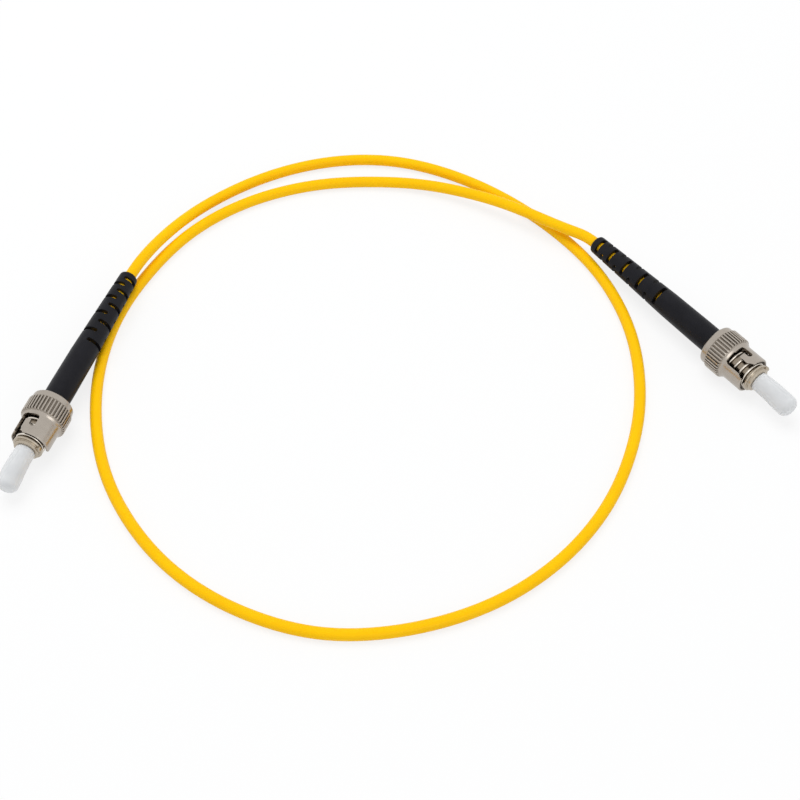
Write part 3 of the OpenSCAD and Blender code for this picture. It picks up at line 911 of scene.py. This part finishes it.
def cap_mesh(name, bend_deg):
    """A closed cap: outer skin from the mouth to the tip, and the bore back to the mouth."""
    bend = math.radians(bend_deg)
    hinge = NOSE + CAP_STRAIGHT

    def droop_at(s):
        """How far the cap has turned down at length s, in radians."""
        t = min(max((s - hinge + CAP_BLEND / 2) / CAP_BLEND, 0), 1)
        return bend * t * t * (3 - 2 * t)

    line = []
    x, z, last = CAP_BACK, 0.0, CAP_BACK
    for i in range(CAP_STEPS + 1):
        s = CAP_BACK + CAP_LEN * i / CAP_STEPS
        turn = droop_at((s + last) / 2)
        x += (s - last) * math.cos(turn)
        z -= (s - last) * math.sin(turn)
        last = s
        line.append((s, x, z, droop_at(s)))

    def at(s):
        """The nearest known point of the bent line: length, x, z and droop."""
        return min(line, key=lambda p: abs(p[0] - s))

    def outer_r(s):
        """The skin's radius, which grows from the mouth towards the tip."""
        t = min(max((s - CAP_BACK) / (CAP_FLARE * CAP_LEN), 0), 1)
        return CAP_MOUTH_R + (CAP_TIP_R - CAP_MOUTH_R) * t * t * (3 - 2 * t)

    rings = [
        (CAP_BACK, CAP_MOUTH_R - CAP_LIP),
        (CAP_BACK + CAP_LIP / 3, CAP_MOUTH_R - CAP_LIP / 3),
        (CAP_BACK + CAP_LIP, CAP_MOUTH_R),
    ]
    start, stop = CAP_BACK + CAP_LIP, CAP_BACK + CAP_LEN - CAP_TIP_ROUND
    for k in range(1, CAP_SKIN_RINGS + 1):
        s = start + (stop - start) * k / CAP_SKIN_RINGS
        rings.append((s, outer_r(s)))
    flat = outer_r(stop) - CAP_TIP_ROUND
    for k in range(1, CAP_TIP_RINGS + 1):
        a = math.pi / 2 * k / CAP_TIP_RINGS
        rings.append((stop + CAP_TIP_ROUND * math.sin(a), flat + CAP_TIP_ROUND * math.cos(a)))
    rings.append((stop + CAP_TIP_ROUND * 1.006, flat * 0.5))
    inner = [
        (CAP_BACK, CAP_BORE_R + BORE_FLARE),
        (CAP_BACK + BORE_LEAD, CAP_BORE_R),
        (CAP_BORE_END, CAP_BORE_R),
        (CAP_BORE_END + 0.5, 0.02),
    ]
    around = CAP_SIDES
    verts, faces = [], []

    def ring(s, r, straight=False):
        """Add a ring of points, on the bent line or on the straight one of the bore."""
        _, x, z, turn = (s, s, 0.0, 0.0) if straight else at(s)
        for k in range(around):
            a = 2 * math.pi * k / around
            across, up = r * math.cos(a), r * math.sin(a)
            verts.append(Vector((x + up * math.sin(turn), across, z + up * math.cos(turn))) * MM)

    for s, r in rings:
        ring(s, r)
    for s, r in inner:
        ring(s, r, True)
    outer_n, inner_n = len(rings), len(inner)

    def bridge(i, j, flip):
        """Join two rings by quads that face outwards."""
        for k in range(around):
            n = (k + 1) % around
            quad = (i * around + k, i * around + n, j * around + n, j * around + k)
            faces.append(tuple(reversed(quad)) if flip else quad)

    for i in range(outer_n - 1):
        bridge(i, i + 1, True)
    bridge(0, outer_n, False)
    for i in range(outer_n, outer_n + inner_n - 1):
        bridge(i, i + 1, False)
    faces.append(tuple(reversed([(outer_n - 1) * around + k for k in range(around)])))
    faces.append(tuple((outer_n + inner_n - 1) * around + k for k in range(around)))
    mesh = bpy.data.meshes.new(name)
    mesh.from_pydata(verts, [], faces)
    mesh.shade_smooth()
    return mesh


# %% Caps in place
vinyl, tree, shader = finish(
    "milky_vinyl",
    IOR=1.46,
    Specular_IOR_Level=0.3,
    Transmission_Weight=0.12,
    Subsurface_Weight=0.5,
)
shader.inputs["Subsurface Radius"].default_value = (1.0, 1.0, 1.0)
shader.inputs["Subsurface Scale"].default_value = 0.0015
place = object_mm(tree)
hand = placed(tree, handled, Place=place, Grain_Scale=4.0, Patch_Scale=0.3)
colour = blend_colour(tree, hand.outputs["Patches"], (0.66, 0.67, 0.68), (0.71, 0.715, 0.72))
tree.links.new(colour, shader.inputs["Base Color"])
tree.links.new(remap(tree, hand.outputs["Grain"], 0, 1, 0.38, 0.50), shader.inputs["Roughness"])
tree.links.new(bump(tree, noise(tree, place, 3.0, 3.0), 0.1, 0.00003), shader.inputs["Normal"])
for side in SIDES:
    skin = cap_mesh(f"{side}_vinyl_cap", CAP_BEND[side])
    cap = settle(f"{side}_vinyl_cap", skin, side, f"{side}_cap", vinyl)
    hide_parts(f"{side}_dust_cap")
print("a cap over each ferrule")

# %% [markdown]
# ## Small inner parts
#
# The ferrule, the retaining ring, the gripped yarn and the coated fibre show only through
# the slots or when a joint moves, so their solids are right as they are and only need a
# finish: ground ceramic, blued steel, twisted yarn and a smooth lacquer.

# %% Ceramic, steel, yarn and lacquer


def simple(name, first, second, rough, grain, metallic=0.0, depth=0.00002):
    """A small part's finish: two mixed colours, a varied roughness and a fine bump."""
    material, tree, shader = finish(name, Metallic=metallic)
    place = object_mm(tree)
    hand = placed(tree, handled, Place=place, Grain_Scale=grain, Patch_Scale=grain / 8)
    colour = blend_colour(tree, hand.outputs["Patches"], first, second)
    tree.links.new(colour, shader.inputs["Base Color"])
    dull = remap(tree, hand.outputs["Grain"], 0, 1, rough - 0.05, rough + 0.07)
    tree.links.new(dull, shader.inputs["Roughness"])
    tree.links.new(bump(tree, hand.outputs["Grain"], 0.2, depth), shader.inputs["Normal"])
    return material


ceramic = simple("ground_ceramic", (0.86, 0.85, 0.80), (0.90, 0.89, 0.85), 0.12, 10.0)
blued = simple("blued_steel", (0.10, 0.10, 0.10), (0.16, 0.15, 0.14), 0.3, 9.0, 1.0)
yarn = simple("aramid_yarn", (0.72, 0.52, 0.12), (0.80, 0.62, 0.20), 0.65, 16.0, depth=0.00008)
lacquer = simple("fibre_lacquer", (0.86, 0.82, 0.64), (0.90, 0.87, 0.72), 0.3, 6.0)
for side in SIDES:
    dress(f"{side}_ferrule", ceramic)
    dress(f"{side}_retaining_ring", blued)
    dress(f"{side}_strength_yarn", yarn)
    dress(f"{side}_buffered_fibre", lacquer)
print("inner parts finished")
